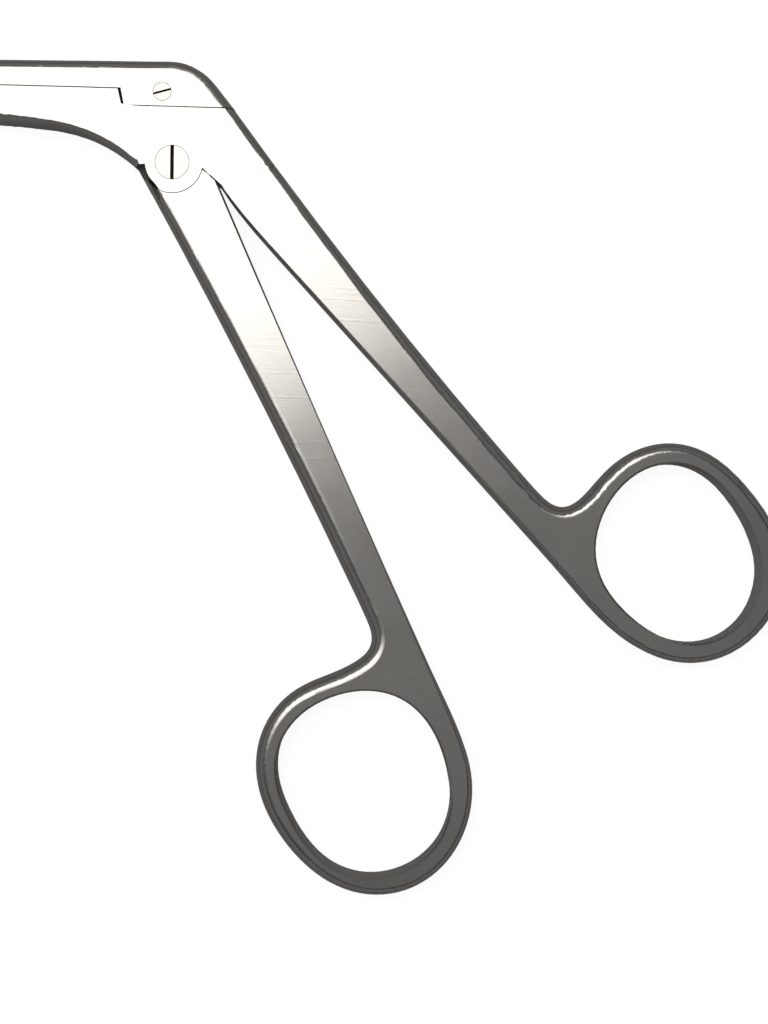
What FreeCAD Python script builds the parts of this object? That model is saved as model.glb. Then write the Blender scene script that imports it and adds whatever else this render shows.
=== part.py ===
import FreeCAD, Part
import math
import os

# Bone rongeur with ring handles, a sliding upper shaft and a pair of cup jaws.
# The instrument lies flat. +Z is its thickness and the table is at z = 0. The main pivot's axis is at
# x = 0, y = 0. The jaws point along -X and the handles run down and to the right.
# All lengths are in millimetres and all angles in degrees.

os.makedirs("parts", exist_ok=True)
doc = FreeCAD.newDocument("BoneRongeur")
Vector = FreeCAD.Vector
Placement = FreeCAD.Placement
Rotation = FreeCAD.Rotation
UP = Vector(0, 0, 1)

DIMENSIONS = (
    ("box_thickness", 5.0, "thickness of the box and of the handles where they start"),
    ("ring_thickness", 3.6, "thickness at the far end of each finger ring"),
    ("tip_width", 3.4, "width of both shafts and of the cups at the tip"),
    ("shaft_taper_start", 12.0, "distance ahead of the pivot where the shafts begin to taper"),
    ("handle_taper_start", 10.0, "distance below the pivot where the rear handle begins to taper"),
    ("jaw_pin_reach", 132.0, "from the main pivot forward to the jaw's pin"),
    ("box_height", 7.35, "height of the box's top face above the pivot"),
    ("seam_height", 9.6, "height of the lower shaft's top face above the pivot"),
    ("step_place", 7.05, "the step between those two faces, ahead of the pivot"),
    ("step_lean", 0.5, "how far the step face leans forward at its top"),
    ("slide_gap", 0.05, "clearance under the sliding bar"),
    ("step_gap", 0.3, "gap between the two step faces with the jaws closed"),
    ("cheek_radius", 4.05, "outer radius of the box's round cheeks"),
    ("cheek_gap", 0.1, "gap between the cheeks and the front handle's shoulder"),
    ("cheek_start", -8.6, "direction in which the cheeks meet the rear handle's shoulder"),
    ("cheek_end", -175.0, "direction in which the cheeks meet the opening stop"),
    ("stop_radius", 5.05, "outer radius of the opening stop"),
    ("cusp_x", 3.96, "top of the front handle's shoulder, along X"),
    ("cusp_y", -0.83, "top of the front handle's shoulder, along Y"),
    ("shoulder_x", 6.05, "bottom of the front handle's shoulder, along X"),
    ("shoulder_y", -2.55, "bottom of the front handle's shoulder, along Y"),
    ("shoulder_gap", 0.2, "gap between the two shoulders, the closing stop"),
    ("tongue_thickness", 2.0, "thickness of the front handle's tongue"),
    ("tongue_gap", 0.05, "clearance on each side of the tongue in its slots"),
    ("heel_radius", 4.95, "radius of the tongue's round eye"),
    ("corner_drop", 2.3, "room beside the tongue for the opening stop, below the pivot"),
    ("corner_inset", 3.3, "room beside the tongue for the opening stop, ahead of the pivot"),
    ("heel_gap", 0.15, "clearance round the eye in the box"),
    ("lever_height", 9.4, "height of the slide screw above the pivot"),
    ("slide_travel", 3.2, "travel of the sliding bar"),
    ("lever_end_radius", 1.9, "round end of the lever"),
    ("lever_base_half", 2.3, "half the lever's width at the eye"),
    ("lever_room_spare", 0.35, "more room beside the lever in the sliding bar, where its sides lean"),
    ("lever_gap", 0.2, "clearance beside the lever at both ends of its swing"),
    ("pivot_head_radius", 2.3, "pivot screw's head"),
    ("pivot_head_depth", 0.8, "pivot screw's head, depth"),
    ("pivot_shank_radius", 1.4, "pivot screw's bearing shank"),
    ("pivot_end_radius", 1.25, "pivot screw's end in the far cheek"),
    ("pivot_gap", 0.05, "running clearance of the tongue on the pivot screw"),
    ("pivot_slot_width", 0.5, "driver slot of the pivot screw"),
    ("pivot_slot_depth", 0.45, "driver slot of the pivot screw, depth"),
    ("pivot_slot_turn", 91.0, "direction of the pivot screw's driver slot"),
    ("slide_head_radius", 1.25, "slide screw's head"),
    ("slide_head_depth", 0.6, "slide screw's head, depth"),
    ("slide_shank_radius", 0.75, "slide screw's shank"),
    ("slide_end_radius", 0.65, "slide screw's end in the far wall"),
    ("slide_slot_width", 0.3, "driver slot of the slide screw"),
    ("slide_slot_depth", 0.3, "driver slot of the slide screw, depth"),
    ("slide_slot_turn", 16.6, "direction of the slide screw's driver slot"),
    ("screw_play", 0.05, "running clearance of the slide screw in the lever's slot"),
    ("seat_gap", 0.02, "clearance of a screw or pin in the piece that holds it"),
    ("slide_depth", 4.45, "height of the sliding bar's top above the seam, over the pivot"),
    ("slide_tip_depth", 2.3, "height of the sliding bar's top above the seam, at its nose"),
    ("back_x", 8.09, "back of the box at its top face"),
    ("back_slope", 51.6, "slope of the sliding bar's back face"),
    ("back_corner_radius", 7.0, "rounding between the sliding bar's top and its back"),
    ("shaft_tip_bottom", 6.9, "underside of the lower shaft at the tip"),
    ("shaft_knee_x", 40.0, "where the underside becomes straight, ahead of the pivot"),
    ("shaft_knee_y", 6.0, "underside of the lower shaft there"),
    ("throat_x", 17.6, "where the underside's tight curve ends, ahead of the pivot"),
    ("throat_y", 4.95, "underside of the lower shaft there"),
    ("throat_radius", 21.0, "tight curve of the underside beside the pivot"),
    ("lug_front", 118.0, "front guide lug, ahead of the pivot"),
    ("lug_rear", 62.0, "rear guide lug, ahead of the pivot"),
    ("lug_length", 8.0, "length of a guide lug"),
    ("lug_stem_width", 1.0, "guide lug's stem"),
    ("lug_stem_height", 0.6, "height of the stem above the shaft"),
    ("lug_head_width", 2.0, "guide lug's head"),
    ("lug_head_height", 0.55, "height of the head"),
    ("lug_gap", 0.06, "clearance round a guide lug"),
    ("jaw_pin_drop", 1.65, "depth of the jaw's pin below the seam"),
    ("link_rise", 2.9, "height of the link pin above the jaw's pin"),
    ("jaw_pin_radius", 0.5, "jaw's pin"),
    ("link_pin_radius", 0.45, "link pin"),
    ("pin_play", 0.04, "running clearance of the jaw's tail on its pin"),
    ("link_play", 0.08, "running clearance of the link pin in the tail's slot"),
    ("tail_thickness", 1.3, "thickness of the jaw's tail"),
    ("tail_gap", 0.05, "clearance on each side of the tail"),
    ("jaw_slot_reach", 2.6, "how far the slot for the tail reaches behind the jaw's pin"),
    ("fork_reach", 1.5, "how far the sliding bar's fork reaches behind the jaw's pin"),
    ("tail_eye_radius", 1.0, "tail round the jaw's pin"),
    ("tail_end_radius", 0.9, "tail round its slot"),
    ("nose_radius", 1.05, "rounding of the sliding bar's nose"),
    ("jaw_gap", 0.25, "gap between the nose and the upper jaw"),
    ("cup_length", 10.0, "length of the cups"),
    ("cup_depth", 2.5, "depth of each cup"),
    ("cup_wall", 0.5, "wall of each cup"),
    ("cup_root", 0.6, "how far the lower cup's hind end lies ahead of the upper cup's"),
    ("cup_back", 1.1, "solid metal behind each cup's hollow"),
    ("rim_gap", 0.1, "gap between the two rims when closed"),
    ("rim_drop", 0.1, "depth of the cups' parting plane below the seam"),
    ("front_ring_x", 28.1, "centre of the front finger ring, along X"),
    ("front_ring_y", -82.25, "centre of the front finger ring, along Y"),
    ("front_opening", 12.02, "mean radius of the front opening"),
    ("front_rim", 2.6, "mean width of the front ring"),
    ("front_outer_bow", 0.57, "bow of the front handle's outer edge"),
    ("front_inner_bow", 0.2, "bow of the front handle's inner edge"),
    ("heel_x", -4.95, "top of the front handle's outer edge, along X"),
    ("heel_y", -0.45, "top of the front handle's outer edge, along Y"),
    ("rear_ring_x", 69.2, "centre of the rear finger ring, along X"),
    ("rear_ring_y", -50.45, "centre of the rear finger ring, along Y"),
    ("rear_opening", 11.3, "mean radius of the rear opening"),
    ("rear_rim", 2.99, "mean width of the rear ring"),
    ("rear_outer_bow", -0.77, "bow of the rear handle's outer edge"),
    ("front_neck_back", 0.5, "notch above the front ring, left of the ring's centre"),
    ("front_neck_up", 21.95, "notch above the front ring, above the ring's centre"),
    ("front_inner_side", 8.4, "end of the front handle's inner edge, right of the ring's centre"),
    ("front_inner_up", 15.35, "end of the front handle's inner edge, above the ring's centre"),
    ("rear_neck_back", 19.3, "notch beside the rear ring, left of the ring's centre"),
    ("rear_neck_up", 8.25, "notch beside the rear ring, above the ring's centre"),
    ("rear_inner_back", 16.7, "end of the rear handle's inner edge, left of the ring's centre"),
    ("rear_inner_down", 1.75, "end of the rear handle's inner edge, below the ring's centre"),
    ("crotch_x", 12.5, "where the rear handle's inner edge starts to curve into the crotch, along X"),
    ("crotch_y", 10.05, "where it starts to curve, below the pivot"),
    ("opening_bevel", 0.3, "bevel of the rings' inner edges"),
    ("slide_rounding", 1.4, "rounding of the sliding bar's top edges"),
)

sheet = doc.addObject("Spreadsheet::Sheet", "Sizes")
for row, (alias, value, meaning) in enumerate(DIMENSIONS, start=1):
    sheet.set(f"A{row}", meaning)
    sheet.set(f"B{row}", str(value))
    sheet.setAlias(f"B{row}", alias)
doc.recompute()


def size(alias):
    return float(sheet.get(alias))


THROUGH = 2.0  # how far a cutter reaches past the face it goes through
MIDDLE = size("box_thickness") / 2
LEVER_LEAN = size("slide_travel") / 2
LEVER_REACH = math.hypot(size("lever_height"), LEVER_LEAN)
JAW_X = -size("jaw_pin_reach")
JAW_Y = size("seam_height") - size("jaw_pin_drop")
LINK_X = JAW_X - LEVER_LEAN
LINK_Y = JAW_Y + size("link_rise")
NOSE_X = LINK_X - size("nose_radius")
UPPER_CUP_X = NOSE_X - size("jaw_gap")
LOWER_CUP_X = UPPER_CUP_X - size("cup_root")
CUP_END_X = UPPER_CUP_X - size("cup_length")
LOWER_RIM = size("seam_height") - size("rim_drop") - size("rim_gap") / 2
UPPER_RIM = LOWER_RIM + size("rim_gap")
SLIDE_TOP = size("seam_height") + size("slide_depth")
SLIDE_TIP_TOP = size("seam_height") + size("slide_tip_depth")


# Points, directions and curves, all drawn on the plane z = 0 of a sketch

def flat(x, y):
    return Vector(x, y, 0)


def polar(radius, degrees, centre=None):
    turn = math.radians(degrees)
    return (centre or Vector()) + flat(radius * math.cos(turn), radius * math.sin(turn))


def segment(start, end):
    return Part.LineSegment(start, end)


def bowed(start, end, bow):
    """An arc from start to end whose middle stands out to the left by bow."""
    along = end - start
    side = flat(-along.y, along.x).normalize()
    return Part.Arc(start, (start + end) * 0.5 + side * bow, end)


def bezier(start, out, end, into):
    """A cubic curve that leaves start along the vector out and reaches end along the vector into."""
    curve = Part.BezierCurve()
    curve.setPoles([start, start + out, end - into, end])
    return curve


def sampled(curve, steps):
    first, last = curve.FirstParameter, curve.LastParameter
    return [curve.value(first + (last - first) * step / steps) for step in range(steps)]


def end_heading(curve):
    return curve.tangent(curve.LastParameter)[0]


def start_heading(curve):
    return curve.tangent(curve.FirstParameter)[0]


def smooth(points, closed=False):
    curve = Part.BSplineCurve()
    curve.interpolate(Points=points, PeriodicFlag=closed)
    return curve


def split(curve, stations):
    """The curve as separate pieces that meet at the stations, which are points on it."""
    marks = [curve.FirstParameter] + [curve.parameter(point) for point in stations] + [curve.LastParameter]
    pieces = []
    for low, high in zip(marks, marks[1:]):
        piece = curve.copy()
        piece.segment(low, high)
        pieces.append(piece)
    return pieces


# Document objects

def bind(item, **expressions):
    """Ties properties to the sheet. An underscore pair in a key stands for a dot."""
    for key, text in expressions.items():
        item.setExpression(key.replace("__", "."), text)
    return item


def sketch(name, curves, placement=None):
    item = doc.addObject("Sketcher::SketchObject", name)
    item.addGeometry(curves, False)
    item.Placement = placement or Placement(Vector(0, 0, MIDDLE), Rotation())
    return item


def plate(name, curves, thickness, placement=None):
    """A plate drawn by its outline, as thick on one side of the sketch as on the other."""
    item = doc.addObject("Part::Extrusion", name)
    item.Base = sketch(name + "Outline", curves, placement)
    item.DirMode = "Normal"
    item.FaceMakerClass = "Part::FaceMakerBullseye"
    item.Solid = True
    item.Symmetric = True
    return bind(item, LengthFwd=thickness)


def polygon(points):
    return [segment(start, end) for start, end in zip(points, points[1:] + points[:1])]


def rectangle(x0, x1, y0, y1):
    return polygon([flat(x0, y0), flat(x1, y0), flat(x1, y1), flat(x0, y1)])


def cylinder(name, centre, low, radius, height):
    item = doc.addObject("Part::Cylinder", name)
    item.Placement = Placement(flat(centre.x, centre.y), Rotation())
    return bind(item, Radius=radius, Height=height, Placement__Base__z=low)


def joined(name, pieces):
    item = doc.addObject("Part::MultiFuse", name)
    item.Shapes = pieces
    return item


def shared(name, pieces):
    item = doc.addObject("Part::MultiCommon", name)
    item.Shapes = pieces
    return item


def cut(name, base, tools, merge=True):
    """Takes the tools away from the base one by one. merge joins faces that lie in one plane at the end."""
    for count, tool in enumerate(tools, start=1):
        last = count == len(tools)
        item = doc.addObject("Part::Cut", name if last else f"{name}Step{count}")
        item.Base = base
        item.Tool = tool
        item.Refine = merge and last
        base = item
    return base


def taper(name, direction, start, start_half, end, end_half, reach):
    """A pair of wedges that take a plate down from start_half to end_half each side of the middle."""
    slope = (end_half - start_half) / (end - start)
    far_half = start_half + slope * (reach - start)
    turned = Rotation(UP, direction).multiply(Rotation(Vector(1, 0, 0), 90))
    wedges = []
    for side, label in ((1, "Near"), (-1, "Far")):
        corners = [
            flat(start, side * start_half),
            flat(reach, side * far_half),
            flat(reach, side * 2 * start_half),
            flat(start, side * 2 * start_half),
        ]
        place = Placement(Vector(0, 0, MIDDLE), turned)
        wedges.append(plate(name + label, polygon(corners), "20 * Sizes.box_thickness", place))
    return wedges


def long_edges(base, curve):
    """The edges of a plate, on its near and on its far face, that follow an outline curve."""
    found = {1: [], -1: []}
    for number, edge in enumerate(base.Shape.Edges, start=1):
        middle = edge.valueAt((edge.FirstParameter + edge.LastParameter) / 2)
        if abs(middle.z - MIDDLE) < size("tip_width") / 4:
            continue
        if curve.toShape().distToShape(Part.Vertex(flat(middle.x, middle.y)))[0] < 0.01:
            found[1 if middle.z > MIDDLE else -1].append((number, edge))
    return found


def rounded(name, base, chains):
    """Rounds the long edges of a plate.

    A chain is a run of outline curves that meet smoothly, each with the radii at its two ends. The fillet
    follows a chain in the direction of the edge it is given first, so the two radii of every edge in it
    are listed in that direction.
    """
    doc.recompute()
    chosen = []
    for chain in chains:
        picked = {1: {}, -1: {}}
        for curve, start_radius, end_radius in chain:
            for side, edges in long_edges(base, curve).items():
                for number, edge in edges:
                    picked[side].setdefault(number, (edge, curve, start_radius, end_radius))
        for side in picked.values():
            forward = None
            for number, (edge, curve, start_radius, end_radius) in sorted(side.items()):
                length = curve.LastParameter - curve.FirstParameter
                shares = []
                for parameter in (edge.FirstParameter, edge.LastParameter):
                    point = edge.valueAt(parameter)
                    shares.append((curve.parameter(flat(point.x, point.y)) - curve.FirstParameter) / length)
                if forward is None:
                    forward = shares[1] > shares[0]
                radii = [
                    start_radius + (end_radius - start_radius) * min(max(share, 0), 1)
                    for share in sorted(shares, reverse=not forward)
                ]
                chosen.append((number, *radii))
    item = doc.addObject("Part::Fillet", name)
    item.Base = base
    item.Edges = chosen
    return item


def bevelled(name, base, curve, leg):
    """Breaks the edges of a ring's opening with a small bevel."""
    doc.recompute()
    item = doc.addObject("Part::Chamfer", name)
    item.Base = base
    item.Edges = [
        (number, leg, leg) for edges in long_edges(base, curve).values() for number, edge in edges]
    return item


# Finger rings: ovals about a centre whose radius is a mean with a long axis, an egg shape and a square one

class Oval:
    def __init__(self, centre, mean, stretch, egg, square):
        self.centre = centre
        self.mean = mean
        self.waves = ((2, *stretch), (3, *egg), (4, *square))

    def point(self, degrees):
        radius = self.mean
        for order, amount, direction in self.waves:
            radius += amount * math.cos(order * math.radians(degrees - direction))
        return polar(radius, degrees, self.centre)

    def heading(self, degrees, sense):
        return (self.point(degrees + sense) - self.point(degrees - sense)).normalize()

    def around(self, start, end, steps):
        return [self.point(start + (end - start) * step / steps) for step in range(steps)]


FRONT_CENTRE = flat(size("front_ring_x"), size("front_ring_y"))
REAR_CENTRE = flat(size("rear_ring_x"), size("rear_ring_y"))
FRONT_OPENING = Oval(FRONT_CENTRE, size("front_opening"), (0.76, -63.8), (0.22, 50.3), (0.19, -21.7))
FRONT_OUTSIDE = Oval(FRONT_CENTRE, size("front_opening") + size("front_rim"), (0.85, -48.8), (0.28, 36.7), (0.0, 0.0))
REAR_OPENING = Oval(REAR_CENTRE, size("rear_opening"), (0.97, -59.0), (0.26, -40.5), (0.13, 8.1))
REAR_OUTSIDE = Oval(REAR_CENTRE, size("rear_opening") + size("rear_rim"), (0.84, -49.9), (0.27, -34.5), (0.23, 4.0))


def ring_hole(oval):
    return smooth(oval.around(0, 360, 16), closed=True)


def handle_edge(outer, neck, oval, leave, arrive, tuck, inner, radii):
    """One smooth edge: down the outer side, through the neck's notch, round the ring and up the inner side.

    neck, leave and arrive say where the outer side ends and between which directions the ring is its oval.
    tuck holds how far the curves at both ends of the ring reach. radii are the roundings at the stations.
    """
    sense = 1 if arrive > leave else -1
    ring_start = oval.point(leave)
    ring_end = oval.point(arrive)
    neck_curve = bezier(
        neck, end_heading(outer) * tuck[0], ring_start, oval.heading(leave, sense) * tuck[1])
    inner_start = inner[0].value(inner[0].FirstParameter)
    inner_curve = bezier(
        ring_end, oval.heading(arrive, sense) * tuck[2], inner_start, start_heading(inner[0]) * tuck[2])
    points = sampled(outer, 10) + sampled(neck_curve, 7)
    points += oval.around(leave, arrive, 18) + sampled(inner_curve, 4)
    for curve in inner:
        points += sampled(curve, max(4, round(curve.length() / 5)))
    points.append(inner[-1].value(inner[-1].LastParameter))
    whole = smooth(points)
    middle_one = oval.point(leave + (arrive - leave) / 3)
    middle_two = oval.point(leave + (arrive - leave) * 2 / 3)
    pieces = split(whole, (neck, ring_start, middle_one, middle_two, ring_end, inner_start))
    return pieces, list(zip(pieces, radii, radii[1:]))


# Rear handle with the box, the lower shaft and the lower cup

def scoop(name, rim, side, front_x, back_x, radius, depth):
    """A round-bottomed trough whose open side lies at the rim. Its ends are quarter balls, or flat at back_x.

    side is 1 when the scoop rises above its rim and -1 when it hangs below it.
    """
    centre_y = rim + side * (depth - radius)
    front = front_x + radius
    ball = doc.addObject("Part::Sphere", name + "Nose")
    ball.Radius = radius
    ball.Placement = Placement(Vector(front, centre_y, MIDDLE), Rotation())
    post = doc.addObject("Part::Cylinder", name + "NosePost")
    post.Radius = radius
    post.Height = depth - radius
    post.Placement = Placement(
        Vector(front, min(rim, centre_y), MIDDLE), Rotation(Vector(1, 0, 0), -90))
    round_bottom = doc.addObject("Part::Cylinder", name + "Trough")
    round_bottom.Radius = radius
    round_bottom.Height = back_x - front
    round_bottom.Placement = Placement(Vector(front, centre_y, MIDDLE), Rotation(Vector(0, 1, 0), 90))
    walls = doc.addObject("Part::Box", name + "Walls")
    walls.Length = back_x - front
    walls.Width = depth - radius
    walls.Height = 2 * radius
    walls.Placement = Placement(Vector(front, min(rim, centre_y), MIDDLE - radius), Rotation())
    return joined(name + "Round", [ball, post, round_bottom, walls])


def cup(name, rim, side, back_x):
    """One cup of the pair: its outside, cut off at the rim, and the hollow to be taken out of it."""
    outside = scoop(
        name + "Outside", rim, side, CUP_END_X, back_x, size("tip_width") / 2, size("cup_depth"))
    keep = doc.addObject("Part::Box", name + "Keep")
    keep.Length = back_x - CUP_END_X + 2
    keep.Width = size("cup_depth") + 1
    keep.Height = size("tip_width") + 2
    keep.Placement = Placement(
        Vector(CUP_END_X - 1, min(rim, rim + side * keep.Width.Value), MIDDLE - keep.Height.Value / 2), Rotation())
    inner_radius = size("tip_width") / 2 - size("cup_wall")
    hollow = scoop(
        name + "Hollow", rim, side, CUP_END_X + size("cup_wall"), back_x - size("cup_back"),
        inner_radius, size("cup_depth") - size("cup_wall"))
    return shared(name, [outside, keep]), hollow


def rear_handle_and_shaft():
    back = flat(size("back_x"), size("box_height"))
    neck = REAR_CENTRE + flat(-size("rear_neck_back"), size("rear_neck_up"))
    outer = bowed(back, neck, size("rear_outer_bow"))
    cusp = flat(size("cusp_x"), size("cusp_y"))
    shoulder = flat(size("shoulder_x"), size("shoulder_y"))
    aside = flat(cusp.y - shoulder.y, shoulder.x - cusp.x).normalize() * size("shoulder_gap")
    crotch = shoulder + aside
    inner_top = flat(size("crotch_x"), -size("crotch_y"))
    inner_end = REAR_CENTRE + flat(-size("rear_inner_back"), -size("rear_inner_down"))
    straight = segment(inner_end, inner_top)
    into_crotch = bezier(inner_top, start_heading(straight) * 2.6, crotch, polar(2.6, 122))
    edge, roundings = handle_edge(
        outer, neck, REAR_OUTSIDE, 140, -122, (4.4, 5.4, 4.4), (straight, into_crotch),
        (1.2, 1.85, 1.65, 1.4, 1.1, 0.9, 0.8, 0.25))

    cheek_top = polar(size("cheek_radius"), size("cheek_start"))
    cheek_side = polar(size("cheek_radius"), -115)
    cheek_bottom = polar(size("cheek_radius"), size("cheek_end"))
    face_arc = Part.Arc(cheek_top, polar(size("cheek_radius"), -60), cheek_side)
    free_arc = Part.Arc(cheek_side, polar(size("cheek_radius"), -145), cheek_bottom)
    stop = polar(size("stop_radius"), size("cheek_end"))

    throat = flat(-size("throat_x"), size("throat_y"))
    half_chord = (throat - stop).Length / 2
    throat_bow = size("throat_radius") - math.sqrt(size("throat_radius") ** 2 - half_chord ** 2)
    throat_curve = bowed(stop, throat, throat_bow)
    knee = flat(-size("shaft_knee_x"), size("shaft_knee_y"))
    tip_end = LOWER_CUP_X - 0.5
    tip_bottom = flat(tip_end, size("shaft_tip_bottom"))
    to_tip = (tip_bottom - knee).normalize()
    flare = bezier(throat, end_heading(throat_curve) * 7, knee, to_tip * 7)
    underside = smooth(
        sampled(throat_curve, 6) + sampled(flare, 6) + sampled(segment(knee, tip_bottom), 14) + [tip_bottom])
    under = split(underside, (throat, knee))
    under_roundings = list(zip(under, (0.95, 0.4, 0.4), (0.4, 0.4, 0.6)))

    ledge_x = NOSE_X - 0.1
    front = [
        segment(tip_bottom, flat(tip_end, LOWER_RIM)),
        segment(flat(tip_end, LOWER_RIM), flat(ledge_x, LOWER_RIM)),
        segment(flat(ledge_x, LOWER_RIM), flat(ledge_x, size("seam_height"))),
    ]
    step_top = flat(-size("step_place") - size("step_lean"), size("seam_height"))
    step_bottom = flat(-size("step_place"), size("box_height"))
    top = [
        segment(flat(ledge_x, size("seam_height")), step_top),
        segment(step_top, step_bottom),
        segment(step_bottom, back),
    ]
    outline = edge + [segment(crotch, cheek_top), face_arc, free_arc, segment(cheek_bottom, stop)]
    outline += under + front + top + [ring_hole(REAR_OPENING)]

    block = plate("BodyPlate", outline, "Sizes.box_thickness")
    ring_direction = math.degrees(math.atan2(REAR_CENTRE.y, REAR_CENTRE.x))
    ring_far = REAR_CENTRE.Length + size("rear_opening") + size("rear_rim")
    handle_wedges = taper(
        "BodyHandleTaper", ring_direction, size("handle_taper_start"), MIDDLE,
        ring_far, size("ring_thickness") / 2, ring_far + 5)
    shaft_wedges = taper(
        "BodyShaftTaper", 180, size("shaft_taper_start"), MIDDLE,
        -LOWER_CUP_X, size("tip_width") / 2, -LOWER_CUP_X + 20)
    tapered = cut("BodyTapered", block, handle_wedges + shaft_wedges, merge=False)
    round_edges = rounded("BodyRounded", tapered, [roundings, under_roundings])
    soft = bevelled("BodyBevelled", round_edges, ring_hole(REAR_OPENING), size("opening_bevel"))

    lugs = []
    for label, place in (("Front", "lug_front"), ("Rear", "lug_rear")):
        stem_top = size("seam_height") + size("lug_stem_height")
        head_top = stem_top + size("lug_head_height")
        low_x = -size(place) - size("lug_length") / 2
        high_x = -size(place) + size("lug_length") / 2
        for part, low_y, high_y, width in (
            ("Stem", size("seam_height") - 0.5, stem_top, "Sizes.lug_stem_width"),
            ("Head", stem_top, head_top, "Sizes.lug_head_width"),
        ):
            lugs.append(plate(f"{label}Lug{part}", rectangle(low_x, high_x, low_y, high_y), width))

    shell, hollow = cup("LowerCup", LOWER_RIM, -1, LOWER_CUP_X)
    with_cup = joined("BodyWithCup", [soft, shell] + lugs)

    slot_width = "Sizes.tongue_thickness + 2 * Sizes.tongue_gap"
    slot_low = "(Sizes.box_thickness - Sizes.tongue_thickness) / 2 - Sizes.tongue_gap"
    eye_slot = cylinder(
        "EyeSlot", flat(0, 0), slot_low, "Sizes.heel_radius + Sizes.heel_gap", slot_width)
    half_slot = LEVER_LEAN + size("lever_end_radius") + size("lever_gap")
    slot_top = size("seam_height") + THROUGH
    lever_slot = plate(
        "LeverSlot",
        rectangle(-half_slot, half_slot, 0, slot_top),
        slot_width)
    head_seat = cylinder(
        "PivotHeadSeat", flat(0, 0), "Sizes.box_thickness - Sizes.pivot_head_depth",
        "Sizes.pivot_head_radius + Sizes.seat_gap", "2 * Sizes.pivot_head_depth")
    near_bore = cylinder(
        "PivotNearBore", flat(0, 0), "Sizes.box_thickness / 2",
        "Sizes.pivot_shank_radius + Sizes.seat_gap", "Sizes.box_thickness")
    far_bore = cylinder(
        "PivotFarBore", flat(0, 0), "-1", "Sizes.pivot_end_radius + Sizes.seat_gap",
        "Sizes.box_thickness / 2 + 1")
    slot_front = LOWER_CUP_X + 0.2
    slot_back = JAW_X + size("jaw_slot_reach")
    slot_bottom = size("shaft_tip_bottom") - THROUGH
    slot_roof = size("seam_height") + THROUGH
    jaw_slot = plate(
        "JawSlot", rectangle(slot_front, slot_back, slot_bottom, slot_roof),
        "Sizes.tail_thickness + 2 * Sizes.tail_gap")
    pin_hole = cylinder(
        "JawPinHole", flat(JAW_X, JAW_Y), "-1", "Sizes.jaw_pin_radius + Sizes.seat_gap",
        "Sizes.box_thickness + 2")
    body = cut(
        "Body", with_cup,
        [eye_slot, lever_slot, head_seat, near_bore, far_bore, jaw_slot, pin_hole, hollow])
    body.Label = "rear_handle_and_shaft"
    return body


# Front handle with its tongue and lever

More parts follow.
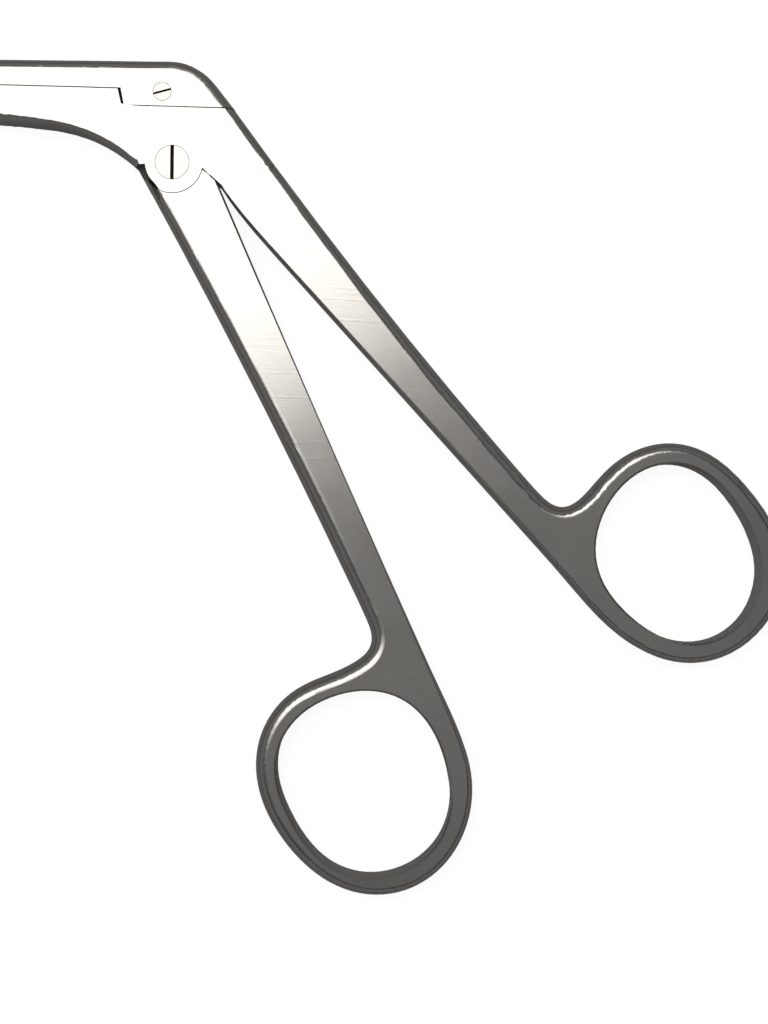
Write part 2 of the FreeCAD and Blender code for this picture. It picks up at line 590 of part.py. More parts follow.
def front_handle():
    heel = flat(size("heel_x"), size("heel_y"))
    neck = FRONT_CENTRE + flat(-size("front_neck_back"), size("front_neck_up"))
    outer = bowed(heel, neck, size("front_outer_bow"))
    cusp = flat(size("cusp_x"), size("cusp_y"))
    shoulder = flat(size("shoulder_x"), size("shoulder_y"))
    inner_end = FRONT_CENTRE + flat(size("front_inner_side"), size("front_inner_up"))
    inner = bowed(inner_end, shoulder, size("front_inner_bow"))
    edge, roundings = handle_edge(
        outer, neck, FRONT_OUTSIDE, 118, 372, (4.6, 7.6, 4.2), (inner,),
        (1.5, 1.9, 1.7, 1.5, 1.1, 0.7, 0.4, 0.25))
    outline = edge + [segment(shoulder, cusp), segment(cusp, Vector()), segment(Vector(), heel)]
    outline.append(ring_hole(FRONT_OPENING))
    block = plate("HandlePlate", outline, "Sizes.box_thickness")
    ring_direction = math.degrees(math.atan2(FRONT_CENTRE.y, FRONT_CENTRE.x))
    ring_far = FRONT_CENTRE.Length + size("front_opening") + size("front_rim")
    wedges = taper(
        "HandleTaper", ring_direction, -8, MIDDLE, ring_far, size("ring_thickness") / 2, ring_far + 5)
    tapered = cut("HandleTapered", block, wedges, merge=False)
    round_edges = rounded("HandleRounded", tapered, [roundings])
    soft = bevelled("HandleBevelled", round_edges, ring_hole(FRONT_OPENING), size("opening_bevel"))

    # Room for the cheeks on both sides of the tongue
    clearance = "Sizes.cheek_radius + Sizes.cheek_gap"
    cheek_depth = "(Sizes.box_thickness - Sizes.tongue_thickness) / 2"
    corner_reach = 8.0
    rooms = []
    for label, low in (("Far", "0"), ("Near", "(Sizes.box_thickness + Sizes.tongue_thickness) / 2")):
        rooms.append(cylinder(f"Cheek{label}Room", flat(0, 0), low, clearance, cheek_depth))
        corner = doc.addObject("Part::Box", f"Cheek{label}Corner")
        corner.Placement = Placement(flat(-corner_reach, -size("corner_drop")), Rotation())
        corner.Length = corner_reach - size("corner_inset")
        corner.Width = corner_reach
        bind(corner, Height=cheek_depth, Placement__Base__z=low)
        rooms.append(corner)
    shank = cut("HandleShank", soft, rooms)

    end = flat(-LEVER_LEAN, size("lever_height"))
    along = flat(end.x, end.y).normalize()
    aside = flat(-along.y, along.x)
    base = along * 3.0
    left_base = base + aside * size("lever_base_half")
    right_base = base - aside * size("lever_base_half")
    left_end = end + aside * size("lever_end_radius")
    right_end = end - aside * size("lever_end_radius")
    lever_outline = [
        segment(right_base, right_end),
        Part.Arc(right_end, end + along * size("lever_end_radius"), left_end),
        segment(left_end, left_base),
        segment(left_base, right_base),
    ]
    lever = plate("Lever", lever_outline, "Sizes.tongue_thickness")
    tongue_low = "(Sizes.box_thickness - Sizes.tongue_thickness) / 2"
    eye = cylinder("TongueEye", flat(0, 0), tongue_low, "Sizes.heel_radius", "Sizes.tongue_thickness")
    beyond = bowed(heel, neck, size("front_outer_bow"))
    low_point = beyond.value(beyond.LastParameter * 0.2)
    trim = plate(
        "TongueTrim",
        polygon([heel, low_point, low_point + flat(-12, 0), heel + flat(-8, 0)]),
        "Sizes.box_thickness")
    eye_trimmed = cut("TongueEyeTrimmed", eye, [trim])
    whole = joined("HandleWhole", [shank, eye_trimmed, lever])

    pivot_bore = cylinder(
        "TonguePivotBore", flat(0, 0), "-1", "Sizes.pivot_shank_radius + Sizes.pivot_gap",
        "Sizes.box_thickness + 2")
    # The screw stays level while the lever swings, so its hole is a short slot along the lever
    nearest = size("lever_height") - size("screw_play")
    farthest = LEVER_REACH + size("screw_play")
    half = size("slide_shank_radius") + size("screw_play")
    slot_outline = [
        segment(along * nearest - aside * half, along * farthest - aside * half),
        Part.Arc(along * farthest - aside * half, along * (farthest + half), along * farthest + aside * half),
        segment(along * farthest + aside * half, along * nearest + aside * half),
        Part.Arc(along * nearest + aside * half, along * (nearest - half), along * nearest - aside * half),
    ]
    screw_slot = plate("LeverScrewSlot", slot_outline, "Sizes.box_thickness")
    handle = cut("Handle", whole, [pivot_bore, screw_slot])
    handle.Label = "front_handle"
    return handle


# Sliding bar

def sliding_bar():
    bottom = size("box_height") + size("slide_gap")
    front_bottom = size("seam_height") + size("slide_gap")
    slope = math.radians(size("back_slope"))
    back_bottom = flat(size("back_x"), size("box_height")) + flat(
        -size("slide_gap") / math.tan(slope), size("slide_gap"))
    nose_top = flat(LINK_X, SLIDE_TIP_TOP)
    top_line = (flat(0, SLIDE_TOP) - nose_top).normalize()
    rise = math.atan2(top_line.y, top_line.x)
    up_back = flat(-math.cos(slope), math.sin(slope))
    # Corner where the top line and the back line cross
    gap = back_bottom - nose_top
    reach = (gap.y * top_line.x - gap.x * top_line.y) / (up_back.x * top_line.y - up_back.y * top_line.x)
    corner = back_bottom + up_back * reach
    trim = size("back_corner_radius") * math.tan((slope + rise) / 2)
    arc_top = corner - top_line * trim
    arc_bottom = corner - up_back * trim
    centre = arc_top + flat(top_line.y, -top_line.x) * size("back_corner_radius")
    arc_middle = centre + (corner - centre).normalize() * size("back_corner_radius")

    def on_top(x):
        return nose_top + top_line * ((x - nose_top.x) / top_line.x)

    nose_centre = flat(LINK_X, SLIDE_TIP_TOP - size("nose_radius"))
    nose_front = nose_centre + flat(-size("nose_radius"), 0)
    nose = Part.Arc(nose_top, polar(size("nose_radius"), 135, nose_centre), nose_front)
    points = sampled(segment(back_bottom, arc_bottom), 4)
    points += sampled(Part.Arc(arc_bottom, arc_middle, arc_top), 6)
    points += [arc_top] + [on_top(x) for x in (-3, -6, -10, -14, -18, -30, -60, -95, -120, -130)]
    points += sampled(nose, 5) + [nose_front]
    rounding = size("slide_rounding")
    pieces = split(smooth(points), (on_top(-10), on_top(-18), nose_top))
    roundings = [(piece, rounding, rounding) for piece in pieces]
    step_shift = size("step_gap")
    step_top = flat(-size("step_place") - size("step_lean") + step_shift, front_bottom)
    step_bottom = flat(-size("step_place") + step_shift, bottom)
    nose_bottom = flat(NOSE_X, front_bottom)
    outline = pieces + [
        segment(nose_front, nose_bottom),
        segment(nose_bottom, step_top),
        segment(step_top, step_bottom),
        segment(step_bottom, back_bottom),
    ]
    block = plate("SlidePlate", outline, "Sizes.box_thickness")
    wedges = taper(
        "SlideTaper", 180, size("shaft_taper_start"), MIDDLE,
        -LOWER_CUP_X, size("tip_width") / 2, -LOWER_CUP_X + 20)
    tapered = cut("SlideTapered", block, wedges, merge=False)
    soft = rounded("SlideRounded", tapered, [roundings])

    screw = flat(-LEVER_LEAN, size("lever_height"))
    half = size("lever_end_radius") + size("lever_gap") + size("lever_room_spare")
    slot_top = LEVER_REACH + size("lever_end_radius") + size("lever_gap")
    lever_room = plate(
        "SlideLeverRoom",
        [
            segment(screw + flat(half, -5), flat(screw.x + half, size("lever_height"))),
            Part.Arc(
                flat(screw.x + half, size("lever_height")),
                flat(screw.x, slot_top),
                flat(screw.x - half, size("lever_height"))),
            segment(flat(screw.x - half, size("lever_height")), screw + flat(-half, -5)),
            segment(screw + flat(-half, -5), screw + flat(half, -5)),
        ],
        "Sizes.tongue_thickness + 2 * Sizes.tongue_gap")
    head_seat = cylinder(
        "SlideHeadSeat", screw, "Sizes.box_thickness - Sizes.slide_head_depth",
        "Sizes.slide_head_radius + Sizes.seat_gap", "2 * Sizes.slide_head_depth")
    near_bore = cylinder(
        "SlideNearBore", screw, "Sizes.box_thickness / 2", "Sizes.slide_shank_radius + Sizes.seat_gap",
        "Sizes.box_thickness")
    far_bore = cylinder(
        "SlideFarBore", screw, "-1", "Sizes.slide_end_radius + Sizes.seat_gap", "Sizes.box_thickness / 2 + 1")

    # Each guide slot lets its lug travel, and opens behind into a window through which the lug goes in
    rooms = [lever_room, head_seat, near_bore, far_bore]
    stem_top = size("seam_height") + size("lug_stem_height") - size("lug_gap")
    head_top = size("seam_height") + size("lug_stem_height") + size("lug_head_height") + size("lug_gap")
    under = size("seam_height") - 1
    for label, place in (("Front", "lug_front"), ("Rear", "lug_rear")):
        low_x = -size(place) - size("lug_length") / 2 - size("slide_travel") - size("lug_gap") * 2
        high_x = -size(place) + size("lug_length") / 2 + size("lug_gap") * 2
        window_x = high_x + size("lug_length") + size("lug_gap") * 2
        for part, x0, x1, y0, y1, width in (
            ("Throat", low_x, high_x, under, stem_top, "Sizes.lug_stem_width + 2 * Sizes.lug_gap"),
            ("Slot", low_x, window_x, stem_top, head_top, "Sizes.lug_head_width + 2 * Sizes.lug_gap"),
            ("Window", high_x, window_x, under, stem_top, "Sizes.lug_head_width + 2 * Sizes.lug_gap"),
        ):
            rooms.append(plate(f"{label}Guide{part}", rectangle(x0, x1, y0, y1), width))

    rooms.append(plate(
        "SlideFork",
        rectangle(
            NOSE_X - THROUGH, JAW_X + size("fork_reach"),
            front_bottom - THROUGH, SLIDE_TIP_TOP + THROUGH),
        "Sizes.tail_thickness + 2 * Sizes.tail_gap"))
    rooms.append(cylinder(
        "LinkPinHole", flat(LINK_X, LINK_Y), "-1", "Sizes.link_pin_radius + Sizes.seat_gap",
        "Sizes.box_thickness + 2"))
    bar = cut("SlidingBar", soft, rooms)
    bar.Label = "sliding_bar"
    return bar


# Upper jaw

def upper_jaw():
    shell, hollow = cup("UpperCup", UPPER_RIM, 1, UPPER_CUP_X)
    pin = flat(JAW_X, JAW_Y)
    link = flat(LINK_X, LINK_Y) - pin
    along = flat(link.x, link.y).normalize()
    aside = flat(-along.y, along.x)
    nearest = size("link_rise") - size("link_play")
    farthest = link.Length + size("link_play")
    eye_radius = size("tail_eye_radius")
    end_radius = size("tail_end_radius")
    link_outline = [
        segment(pin - aside * eye_radius, pin + along * farthest - aside * end_radius),
        Part.Arc(
            pin + along * farthest - aside * end_radius,
            pin + along * (farthest + end_radius),
            pin + along * farthest + aside * end_radius),
        segment(pin + along * farthest + aside * end_radius, pin + aside * eye_radius),
        Part.Arc(pin + aside * eye_radius, pin - along * eye_radius, pin - aside * eye_radius),
    ]
    thickness = "Sizes.tail_thickness"
    tail = plate("TailLink", link_outline, thickness)
    strip_back = pin + along * nearest
    strip = plate(
        "TailStrip",
        polygon([
            flat(UPPER_CUP_X - 0.8, UPPER_RIM + 0.1),
            flat(strip_back.x - 0.2, UPPER_RIM + 0.1),
            flat(strip_back.x - 0.2, LINK_Y + 0.55),
            flat(UPPER_CUP_X - 0.8, LINK_Y + 0.55),
        ]),
        thickness)
    whole = joined("UpperJawWhole", [shell, tail, strip])
    half = size("link_pin_radius") + size("link_play")
    slot_outline = [
        segment(pin + along * nearest - aside * half, pin + along * farthest - aside * half),
        Part.Arc(
            pin + along * farthest - aside * half, pin + along * (farthest + half),
            pin + along * farthest + aside * half),
        segment(pin + along * farthest + aside * half, pin + along * nearest + aside * half),
        Part.Arc(
            pin + along * nearest + aside * half, pin + along * (nearest - half),
            pin + along * nearest - aside * half),
    ]
    slot = plate("TailSlot", slot_outline, "Sizes.box_thickness")
    bore = cylinder(
        "TailBore", pin, "-1", "Sizes.jaw_pin_radius + Sizes.pin_play", "Sizes.box_thickness + 2")
    jaw = cut("UpperJaw", whole, [slot, bore, hollow])
    jaw.Label = "upper_jaw"
    return jaw


# Screws and pins

def slotted_screw(label, prefix, centre):
    """A flush screw: head on the near side, bearing shank, thinner end in the far wall, driver slot."""
    head = cylinder(
        prefix.title() + "Head", centre, f"Sizes.box_thickness - Sizes.{prefix}_head_depth",
        f"Sizes.{prefix}_head_radius", f"Sizes.{prefix}_head_depth")
    wall = "(Sizes.box_thickness - Sizes.tongue_thickness) / 2 - Sizes.tongue_gap"
    shank = cylinder(
        prefix.title() + "Shank", centre, wall, f"Sizes.{prefix}_shank_radius",
        f"Sizes.box_thickness - Sizes.{prefix}_head_depth - ({wall})")
    end = cylinder(prefix.title() + "End", centre, "0", f"Sizes.{prefix}_end_radius", wall)
    whole = joined(prefix.title() + "Screw", [head, shank, end])
    slot = doc.addObject("Part::Box", prefix.title() + "DriverSlot")
    half_length = size(f"{prefix}_head_radius") + 0.5
    half_width = size(f"{prefix}_slot_width") / 2
    turned = Rotation(UP, size(f"{prefix}_slot_turn"))
    slot.Placement = Placement(centre + turned.multVec(flat(-half_length, -half_width)), turned)
    bind(
        slot, Width=f"Sizes.{prefix}_slot_width", Height=f"2 * Sizes.{prefix}_slot_depth",
        Placement__Base__z=f"Sizes.box_thickness - Sizes.{prefix}_slot_depth")
    slot.Length = 2 * half_length
    screw = cut(prefix.title() + "SlottedScrew", whole, [slot])
    screw.Label = label
    return screw


def tip_pin(label, name, centre, radius):
    pin = cylinder(name, centre, "(Sizes.box_thickness - Sizes.tip_width) / 2", radius, "Sizes.tip_width")
    pin.Label = label
    return pin


nodes = [
    rear_handle_and_shaft(),
    front_handle(),
    sliding_bar(),
    upper_jaw(),
    slotted_screw("pivot_screw", "pivot", flat(0, 0)),
    slotted_screw("slide_screw", "slide", flat(-LEVER_LEAN, size("lever_height"))),
    tip_pin("jaw_pivot_pin", "JawPin", flat(JAW_X, JAW_Y), "Sizes.jaw_pin_radius"),
    tip_pin("jaw_link_pin", "LinkPin", flat(LINK_X, LINK_Y), "Sizes.link_pin_radius"),
]
doc.recompute()

for item in doc.Objects:
    if "Invalid" in item.State or "Error" in item.State:
        raise RuntimeError(f"{item.Label} could not be made: {item.State}")
for node in nodes:
    if node.Shape.isNull() or not node.Shape.isValid():
        raise RuntimeError(f"{node.Label} has no valid shape")
    if len(node.Shape.Solids) != 1:
        raise RuntimeError(f"{node.Label} is {len(node.Shape.Solids)} solids")

for node in nodes:
    node.Shape.exportStep(f"parts/{node.Label}.step")
    print(node.Label, round(node.Shape.Volume, 2), "mm3")
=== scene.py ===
import bpy
import bmesh
import math
from mathutils import Matrix, Vector


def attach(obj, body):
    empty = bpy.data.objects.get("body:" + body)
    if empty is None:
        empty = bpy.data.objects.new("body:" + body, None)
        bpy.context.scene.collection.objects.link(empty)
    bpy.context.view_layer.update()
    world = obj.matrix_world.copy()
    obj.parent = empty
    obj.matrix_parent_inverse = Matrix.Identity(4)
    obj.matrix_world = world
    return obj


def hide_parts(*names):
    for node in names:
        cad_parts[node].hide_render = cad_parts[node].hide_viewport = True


# Satin stainless bone rongeur lying on a pale table, seen from straight above.
# Everything is in metres, in the frame of the CAD model: the main pivot is at x = y = 0, the shaft runs
# towards -x, the finger rings lie towards -y, and the closed instrument rests on z = 0.

MM = 0.001

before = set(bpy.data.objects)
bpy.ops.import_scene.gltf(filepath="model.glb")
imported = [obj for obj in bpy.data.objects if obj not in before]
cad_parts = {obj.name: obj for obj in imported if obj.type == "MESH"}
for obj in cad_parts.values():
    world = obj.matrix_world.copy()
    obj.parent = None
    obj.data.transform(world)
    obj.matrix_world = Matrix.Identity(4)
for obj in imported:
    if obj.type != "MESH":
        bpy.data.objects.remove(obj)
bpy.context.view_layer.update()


# Helpers for node trees

def node(tree, kind, **values):
    made = tree.nodes.new(kind)
    for name, value in values.items():
        setattr(made, name, value)
    return made


def maths(tree, operation, *values):
    """A Math node whose inputs are numbers or the outputs of other nodes."""
    made = node(tree, "ShaderNodeMath", operation=operation)
    for socket, value in zip(made.inputs, values):
        if isinstance(value, float):
            socket.default_value = value
        else:
            tree.links.new(value, socket)
    return made.outputs["Value"]


def noise(tree, coordinate, scale, detail, stretch=(1, 1, 1), turn=0.0):
    mapping = node(tree, "ShaderNodeMapping")
    mapping.inputs["Scale"].default_value = stretch
    mapping.inputs["Rotation"].default_value = (0, 0, turn)
    tree.links.new(coordinate, mapping.inputs["Vector"])
    made = node(tree, "ShaderNodeTexNoise")
    made.inputs["Scale"].default_value = scale
    made.inputs["Detail"].default_value = detail
    tree.links.new(mapping.outputs["Vector"], made.inputs["Vector"])
    return made.outputs["Fac"]


def ramp(tree, value, stops):
    """A colour ramp. Each stop is a place from 0 to 1 with a grey level or a colour."""
    made = node(tree, "ShaderNodeValToRGB")
    elements = made.color_ramp.elements
    while len(elements) < len(stops):
        elements.new(0.5)
    for element, (place, level) in zip(elements, stops):
        element.position = place
        element.color = (*level, 1) if isinstance(level, tuple) else (level, level, level, 1)
    tree.links.new(value, made.inputs["Fac"])
    return made.outputs["Color"]


def bump(tree, height, strength, under=None):
    made = node(tree, "ShaderNodeBump")
    made.inputs["Strength"].default_value = strength
    made.inputs["Distance"].default_value = BUMP_DEPTH
    tree.links.new(height, made.inputs["Height"])
    if under is not None:
        tree.links.new(under, made.inputs["Normal"])
    return made.outputs["Normal"]


def new_material(name):
    """A material with one Principled shader, and the coordinate that its patterns start from."""
    material = bpy.data.materials.new(name)
    material.use_nodes = True
    tree = material.node_tree
    tree.nodes.clear()
    output = node(tree, "ShaderNodeOutputMaterial")
    shader = node(tree, "ShaderNodeBsdfPrincipled")
    tree.links.new(shader.outputs["BSDF"], output.inputs["Surface"])
    return material, tree, shader, node(tree, "ShaderNodeTexCoord").outputs["Object"]


# Materials

BUMP_DEPTH = 0.00002
GRAIN = {"scale": 7000.0, "detail": 2.0, "stretch": (0.10, 1, 1)}
CLOUDS = {"scale": 90.0, "detail": 2.0}
SCRATCHES = {"scale": 2600.0, "detail": 0.0, "stretch": (0.015, 1, 1), "turn": 0.9}
GRAIN_SHARE = 0.6
GRAIN_STRENGTH = 0.10
SCRATCH_STRENGTH = 0.08
GLOSS_SPREAD = 0.015
# The Mix node has one set of sockets for each type, and these are the ones for colours
MIX_FACTOR = 0
MIX_A = 6
MIX_B = 7
MIX_RESULT = 2


def steel(name, light, dark, gloss, grain_turn):
    """Satin steel: a fine grain along one direction, faint clouds and a few hairline scratches."""
    material, tree, shader, place = new_material(name)
    grain = noise(tree, place, turn=grain_turn, **GRAIN)
    clouds = noise(tree, place, **CLOUDS)
    scratches = noise(tree, place, **SCRATCHES)
    mix = node(tree, "ShaderNodeMix", data_type="RGBA")
    mix.inputs[MIX_FACTOR].default_value = GRAIN_SHARE
    tree.links.new(ramp(tree, clouds, [(0.30, dark), (0.75, light)]), mix.inputs[MIX_A])
    tree.links.new(ramp(tree, grain, [(0.3, dark), (0.7, light)]), mix.inputs[MIX_B])
    tree.links.new(mix.outputs[MIX_RESULT], shader.inputs["Base Color"])
    shader.inputs["Metallic"].default_value = 1.0
    rough = ramp(tree, clouds, [(0.3, gloss - GLOSS_SPREAD), (0.7, gloss + GLOSS_SPREAD)])
    tree.links.new(rough, shader.inputs["Roughness"])
    hairlines = ramp(tree, scratches, [(0.70, 0.0), (0.76, 1.0)])
    fine = bump(tree, hairlines, SCRATCH_STRENGTH, under=bump(tree, grain, GRAIN_STRENGTH))
    tree.links.new(fine, shader.inputs["Normal"])
    return material


def painted_shade_material(name, dark, light):
    """Painted shade: a dark, dull colour painted on the bottom of slots and seams, where shade falls."""
    material, tree, shader, place = new_material(name)
    shade_paint = noise(tree, place, 3000.0, 3.0)
    tree.links.new(ramp(tree, shade_paint, [(0.3, dark), (0.7, light)]), shader.inputs["Base Color"])
    shader.inputs["Metallic"].default_value = 0.3
    shader.inputs["Roughness"].default_value = 0.8
    return material


body_steel = steel("SatinSteel", (0.76, 0.74, 0.71), (0.66, 0.645, 0.62), 0.215, 0.4)
screw_metal = steel("ScrewSteel", (0.74, 0.72, 0.69), (0.62, 0.605, 0.58), 0.27, 1.2)
# Dark colours painted as shade: near-black in the screw slots, dark grey on the floor of the stop's
# recess
slot_painted_shade = painted_shade_material("SlotPaintedShade", (0.015, 0.014, 0.013), (0.05, 0.045, 0.04))
recess_painted_shade = painted_shade_material("RecessPaintedShade", (0.13, 0.125, 0.12), (0.20, 0.19, 0.18))

for name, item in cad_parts.items():
    item.data.materials.clear()
    item.data.materials.append(screw_metal if "screw" in name or "pin" in name else body_steel)


# Copies of five solids, with small changes that the solids don't have

NEAR = 5.0 * MM         # z of the face that the camera sees
MIDDLE = 2.5 * MM       # z of the mid-plane
TOUCH = 0.02 * MM       # places closer than this count as one
RIM = 0.10 * MM         # how far a rim is drawn back, so that its seam shows
SEAM_Y = 9.65 * MM      # the seam between the two shafts
BOX_Y = 7.40 * MM       # the seam over the box, which lies lower
STEP_X = -7.0 * MM      # where the seam steps down


def mesh_copy(name, moved=None):
    """A copy of a node's mesh, each vertex sent through the function moved."""
    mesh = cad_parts[name].data.copy()
    if moved is not None:
        for vertex in mesh.vertices:
            vertex.co = moved(vertex.co.copy())
    return mesh


def lay_painted_shade(mesh, shade_paint, wanted):
    """Puts the painted shade material on the faces for which wanted says so."""
    mesh.materials.append(shade_paint)
    for face in mesh.polygons:
        if wanted(face):
            face.material_index = 1


def show(mesh, name, body):
    """Shows the mesh in place of the node of that name."""
    copy = bpy.data.objects.new(name + "_seen", mesh)
    bpy.context.scene.collection.objects.link(copy)
    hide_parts(name)
    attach(copy, body)


# The fixed half. The underside of its shaft is an arc from the opening stop to the throat, and from there
# a long easy curve to the knee, where the straight shaft begins.

STOP = Vector((-5.03 * MM, -0.44 * MM))
THROAT = Vector((-17.6 * MM, 4.95 * MM))
KNEE = Vector((-40.0 * MM, 6.0 * MM))
ARC_CENTRE = Vector((-19.14 * MM, -15.99 * MM))
ARC_RADIUS = 21.0 * MM
THROAT_SLOPE = 0.0735
KNEE_SLOPE = 0.0094
LONGEST_EDGE = 0.9 * MM
MOST_DIVISIONS = 7
# Vertices below this line move with the underside, and those on it stay
STILL_Y = SEAM_Y - 0.5 * MM
# The cheek's rim near the stop: its radii, its part of the circle in degrees, and how far it is eased in
CHEEK_RADII = (3.95 * MM, 4.15 * MM)
CHEEK_TURNS = (-176, -112)
CHEEK_LOW_Z = 4.9 * MM
CHEEK_EASE = 0.11
CHEEK_RUN_OUT = 15


def true_underside(x):
    """The height of the underside at x."""
    if x > THROAT.x:
        return ARC_CENTRE.y + math.sqrt(ARC_RADIUS ** 2 - (x - ARC_CENTRE.x) ** 2)
    run = THROAT.x - KNEE.x
    share = (THROAT.x - x) / run
    rise = KNEE.y - THROAT.y
    return (THROAT.y + run * THROAT_SLOPE * (share - 2 * share ** 2 + share ** 3)
            + rise * (3 * share ** 2 - 2 * share ** 3) + run * KNEE_SLOPE * (share ** 3 - share ** 2))


def lowest_line(points, step):
    """The lowest y of the points in each step along x, as a list of (x, y) from left to right."""
    lows = {}
    for place in points:
        key = round(place.x / step)
        if key not in lows or place.y < lows[key].y:
            lows[key] = place
    return sorted((place.x, place.y) for place in lows.values())


def along_line(line, x):
    """The line's height at x, or None beyond its ends."""
    for (x0, y0), (x1, y1) in zip(line, line[1:]):
        if x0 <= x <= x1:
            return y0 + (y1 - y0) * (x - x0) / max(x1 - x0, 1e-9)
    return None


def in_reach(place):
    return KNEE.x < place.x < STOP.x + 1 * MM and place.y < SEAM_Y


def divide_long_edges(work):
    """Divides the long facets around the underside, so that it can bend."""
    for _ in range(MOST_DIVISIONS):
        long_ones = [
            edge for edge in work.edges
            if edge.calc_length() > LONGEST_EDGE and any(in_reach(vertex.co) for vertex in edge.verts)]
        if not long_ones:
            break
        bmesh.ops.subdivide_edges(work, edges=long_ones, cuts=1)
        bmesh.ops.triangulate(work, faces=[face for face in work.faces if len(face.verts) > 3])


def redraw_underside(work):
    """Moves the underside to its true height, and what lies above it in proportion."""
    wall = [
        vertex.co.copy() for vertex in work.verts
        if KNEE.x - 1 * MM < vertex.co.x < STOP.x + 0.2 * MM and vertex.co.y < 8 * MM
        and abs(vertex.co.z - MIDDLE) < 2.0 * MM]
    line = lowest_line(wall, 0.5 * MM)
    for vertex in work.verts:
        place = vertex.co
        if not (KNEE.x < place.x < STOP.x and place.y < STILL_Y):
            continue
        was = along_line(line, place.x)
        if was is None:
            continue
        share = min(max((STILL_Y - place.y) / (STILL_Y - was), 0), 1)
        place.y = place.y + (true_underside(place.x) - was) * share


def ease_cheek(work):
    """Draws the free rim of the round cheek in a little, next to the opening stop."""
    first, last = CHEEK_TURNS
    for vertex in work.verts:
        place = vertex.co
        reach = math.hypot(place.x, place.y)
        turn = math.degrees(math.atan2(place.y, place.x))
        if place.z > CHEEK_LOW_Z and CHEEK_RADII[0] < reach < CHEEK_RADII[1] and first < turn < last:
            ease = min(1, (last - turn) / CHEEK_RUN_OUT)
            place.x *= 1 - CHEEK_EASE * ease
            place.y *= 1 - CHEEK_EASE * ease


def set_normals(mesh):
    """Flat faces keep straight normals, and a rounding meets its flat face without a crease."""
    flat = [abs(face.normal.z) > 0.9995 for face in mesh.polygons]
    around = [[] for _ in mesh.vertices]
    for face in mesh.polygons:
        for index in face.vertices:
            around[index].append(face.index)
    normals = []
    for face in mesh.polygons:
        for index in face.vertices:
            if flat[face.index]:
                normals.append(face.normal.copy())
                continue
            total = Vector((0, 0, 0))
            level = None
            for other in around[index]:
                other_face = mesh.polygons[other]
                if other_face.normal.dot(face.normal) < 0.85:
                    continue
                if flat[other]:
                    level = other_face.normal.copy()
                total += other_face.normal * other_face.area
            normals.append(level or (total.normalized() if total.length > 0 else face.normal.copy()))
    for face in mesh.polygons:
        face.use_smooth = True
    mesh.normals_split_custom_set(normals)


body_mesh = mesh_copy("rear_handle_and_shaft")
body_work = bmesh.new()
body_work.from_mesh(body_mesh)
bmesh.ops.remove_doubles(body_work, verts=body_work.verts, dist=1e-7)
divide_long_edges(body_work)
redraw_underside(body_work)
ease_cheek(body_work)
body_work.to_mesh(body_mesh)
body_work.free()
body_mesh.update()
set_normals(body_mesh)
show(body_mesh, "rear_handle_and_shaft", "body")


# The front handle, with painted shade (a dark grey colour) on the floor of the recess for the opening
# stop

RECESS = ((-9.0, -1.5), (-5.0, 2.0), (3.3, 4.8))    # its reach along x, y and z in millimetres


def in_recess(face):
    inside = all(low * MM < place < high * MM for place, (low, high) in zip(face.center, RECESS))
    return inside and face.normal.z > 0.7


handle_mesh = mesh_copy("front_handle")
# Dark colour painted as shade on the floor of the recess
lay_painted_shade(handle_mesh, recess_painted_shade, in_recess)
show(handle_mesh, "front_handle", "handle")


# The sliding bar, with its rims drawn back along the seam, and its top lowered where it is a little high

FORK_X = -130 * MM          # the seam ends in the fork, and its rims there stay
CORNER = 0.3 * MM           # how near the step a corner belongs to it
TOP_EXCESS = 0.3 * MM
TOP_FROM_Y = 10.5 * MM
TOP_OVER_Y = 2.5 * MM
TOP_FROM_X = -125 * MM
TOP_OVER_X = 90 * MM


def slide_rim(place):
    if place.x > FORK_X:
        if place.x < STEP_X and abs(place.y - SEAM_Y) < TOUCH:
            place.y += RIM
        if place.x > STEP_X - CORNER and abs(place.y - BOX_Y) < TOUCH:
            place.y += RIM
        if abs(place.x - STEP_X) < CORNER and place.y < SEAM_Y + 2 * RIM:
            place.x += RIM
    high = min(max((place.y - TOP_FROM_Y) / TOP_OVER_Y, 0), 1)
    near = min(max((place.x - TOP_FROM_X) / TOP_OVER_X, 0), 1)
    place.y -= TOP_EXCESS * high * near
    return place


show(mesh_copy("sliding_bar", slide_rim), "sliding_bar", "slide")


# The two screws, with the rims of their heads drawn back and painted shade (a near-black colour) in their
# slots

def show_screw(name, body, centre, radius, slot_floor):
    def moved(place):
        side = Vector((place.x - centre[0], place.y - centre[1], 0))
        if place.z > NEAR - TOUCH and side.length > radius - TOUCH:
            return place - side.normalized() * RIM * 0.5
        return place

    def in_slot(face):
        return slot_floor < face.center.z < NEAR - TOUCH and face.normal.z > 0.5

    mesh = mesh_copy(name, moved)
    # Dark colour painted as shade on the floors of the slots
    lay_painted_shade(mesh, slot_painted_shade, in_slot)
    show(mesh, name, body)


show_screw("pivot_screw", "body", (0, 0), 2.3 * MM, 4.3 * MM)
show_screw("slide_screw", "slide", (-1.6 * MM, 9.4 * MM), 1.25 * MM, 4.5 * MM)


# Table. Metal shows its glow only faintly, as the photograph's rounded edges are dark all the way out.

TABLE_GLOW = 0.92
GLOW_IN_METAL = 0.03


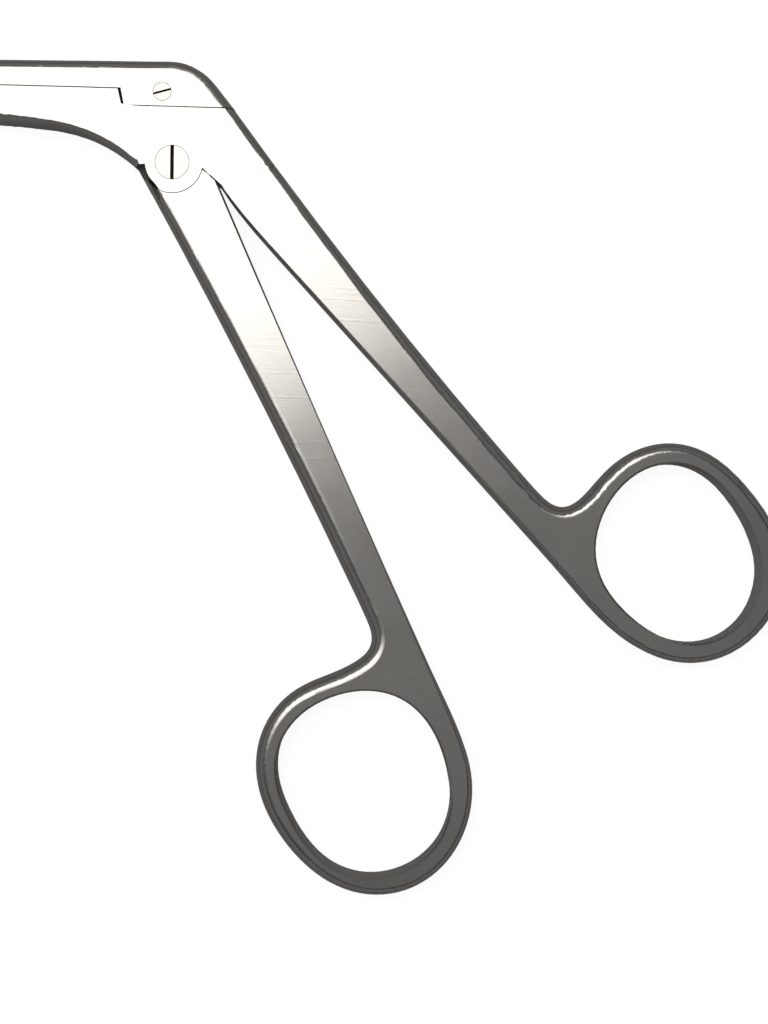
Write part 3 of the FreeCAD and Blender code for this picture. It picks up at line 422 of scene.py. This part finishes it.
def paper():
    material, tree, shader, place = new_material("PaleTable")
    speckle = noise(tree, place, 60.0, 3.0)
    tree.links.new(ramp(tree, speckle, [(0.3, 0.31), (0.7, 0.34)]), shader.inputs["Base Color"])
    shader.inputs["Roughness"].default_value = 0.9
    shader.inputs["Specular IOR Level"].default_value = 0.1
    shader.inputs["Emission Color"].default_value = (1, 1, 1, 1)
    path = node(tree, "ShaderNodeLightPath").outputs
    seen = maths(tree, "MAXIMUM", path["Is Camera Ray"], path["Is Transmission Ray"])
    seen = maths(tree, "MULTIPLY_ADD", path["Is Glossy Ray"], GLOW_IN_METAL, seen)
    tree.links.new(maths(tree, "MULTIPLY", seen, TABLE_GLOW), shader.inputs["Emission Strength"])
    return material


bpy.ops.mesh.primitive_plane_add(size=16.0, location=(0.03, -0.04, -0.0001))
table = bpy.context.object
table.name = "table_top"
table.data.materials.append(paper())


# Camera: straight above the instrument and turned a little about its own axis

CAMERA_HEIGHT = 190 * MM    # above the mid-plane
CAMERA_OVER = Vector((29.60 * MM, -45.84 * MM, MIDDLE))
TURN = math.radians(1.65)
SENSOR = 36.0
FOCAL_PIXELS = 1406.0       # the lens in pixels of the photograph
TALLEST_PIXELS = 1024.0

right = Vector((math.cos(TURN), math.sin(TURN), 0))
up = Vector((-math.sin(TURN), math.cos(TURN), 0))
back = Vector((0, 0, 1))
camera_data = bpy.data.cameras.new("Camera")
camera_data.lens = SENSOR * FOCAL_PIXELS / TALLEST_PIXELS
camera_data.sensor_width = SENSOR
camera_data.sensor_fit = "AUTO"
camera_data.clip_start = 0.01
camera = bpy.data.objects.new("Camera", camera_data)
spin = Matrix((right, up, back)).transposed().to_4x4()
camera.matrix_world = Matrix.Translation(CAMERA_OVER + back * CAMERA_HEIGHT) @ spin
bpy.context.scene.collection.objects.link(camera)
bpy.context.scene.camera = camera


# Light

def panel(name, centre, width, depth, turn, brightness, tint):
    """A soft panel that hangs level over the table, with the brightness of its face given."""
    data = bpy.data.lights.new(name, "AREA")
    data.shape = "RECTANGLE"
    data.size = width
    data.size_y = depth
    data.energy = brightness * math.pi * width * depth
    data.color = tint
    lamp = bpy.data.objects.new(name, data)
    lamp.location = centre
    lamp.rotation_euler = (0, 0, math.radians(turn))
    bpy.context.scene.collection.objects.link(lamp)


panel("KeyLight", (-0.092, 0.136, 0.50), 0.46, 0.30, 36.9, 1.72, (1.0, 0.985, 0.95))
panel("Overhead", (0.05, -0.05, 0.60), 0.48, 0.48, 0, 0.13, (1.0, 0.98, 0.96))

# The room's brightness by height, from 0 level with the table to 1 straight overhead: a little lighter on
# its walls than below and above them
ROOM = [(0.0, 0.035), (0.12, 0.045), (0.28, 0.15), (0.60, 0.15), (0.85, 0.05), (1.0, 0.035)]
# The white backdrop stands low around the table, up to this height, and metal shows it dimmed
BACKDROP_TOP = 0.03
BACKDROP_IN_METAL = 0.2


def studio():
    world = bpy.data.worlds.new("Studio")
    world.use_nodes = True
    tree = world.node_tree
    tree.nodes.clear()
    output = node(tree, "ShaderNodeOutputWorld")
    toward = node(tree, "ShaderNodeSeparateXYZ")
    tree.links.new(node(tree, "ShaderNodeTexCoord").outputs["Generated"], toward.inputs["Vector"])
    height = toward.outputs["Z"]
    room = node(tree, "ShaderNodeBackground")
    tree.links.new(ramp(tree, height, ROOM), room.inputs["Color"])
    backdrop = node(tree, "ShaderNodeBackground")
    backdrop.inputs["Color"].default_value = (1, 1, 1, 1)
    path = node(tree, "ShaderNodeLightPath").outputs
    low = maths(tree, "MULTIPLY", maths(tree, "LESS_THAN", height, BACKDROP_TOP), BACKDROP_IN_METAL)
    mirrored = maths(tree, "MULTIPLY", path["Is Glossy Ray"], low)
    seen = maths(tree, "MAXIMUM", path["Is Camera Ray"], path["Is Transmission Ray"])
    choice = node(tree, "ShaderNodeMixShader")
    tree.links.new(maths(tree, "MAXIMUM", seen, mirrored), choice.inputs["Fac"])
    tree.links.new(room.outputs["Background"], choice.inputs[1])
    tree.links.new(backdrop.outputs["Background"], choice.inputs[2])
    tree.links.new(choice.outputs["Shader"], output.inputs["Surface"])
    bpy.context.scene.world = world


studio()
bpy.context.scene.view_settings.view_transform = "Standard"
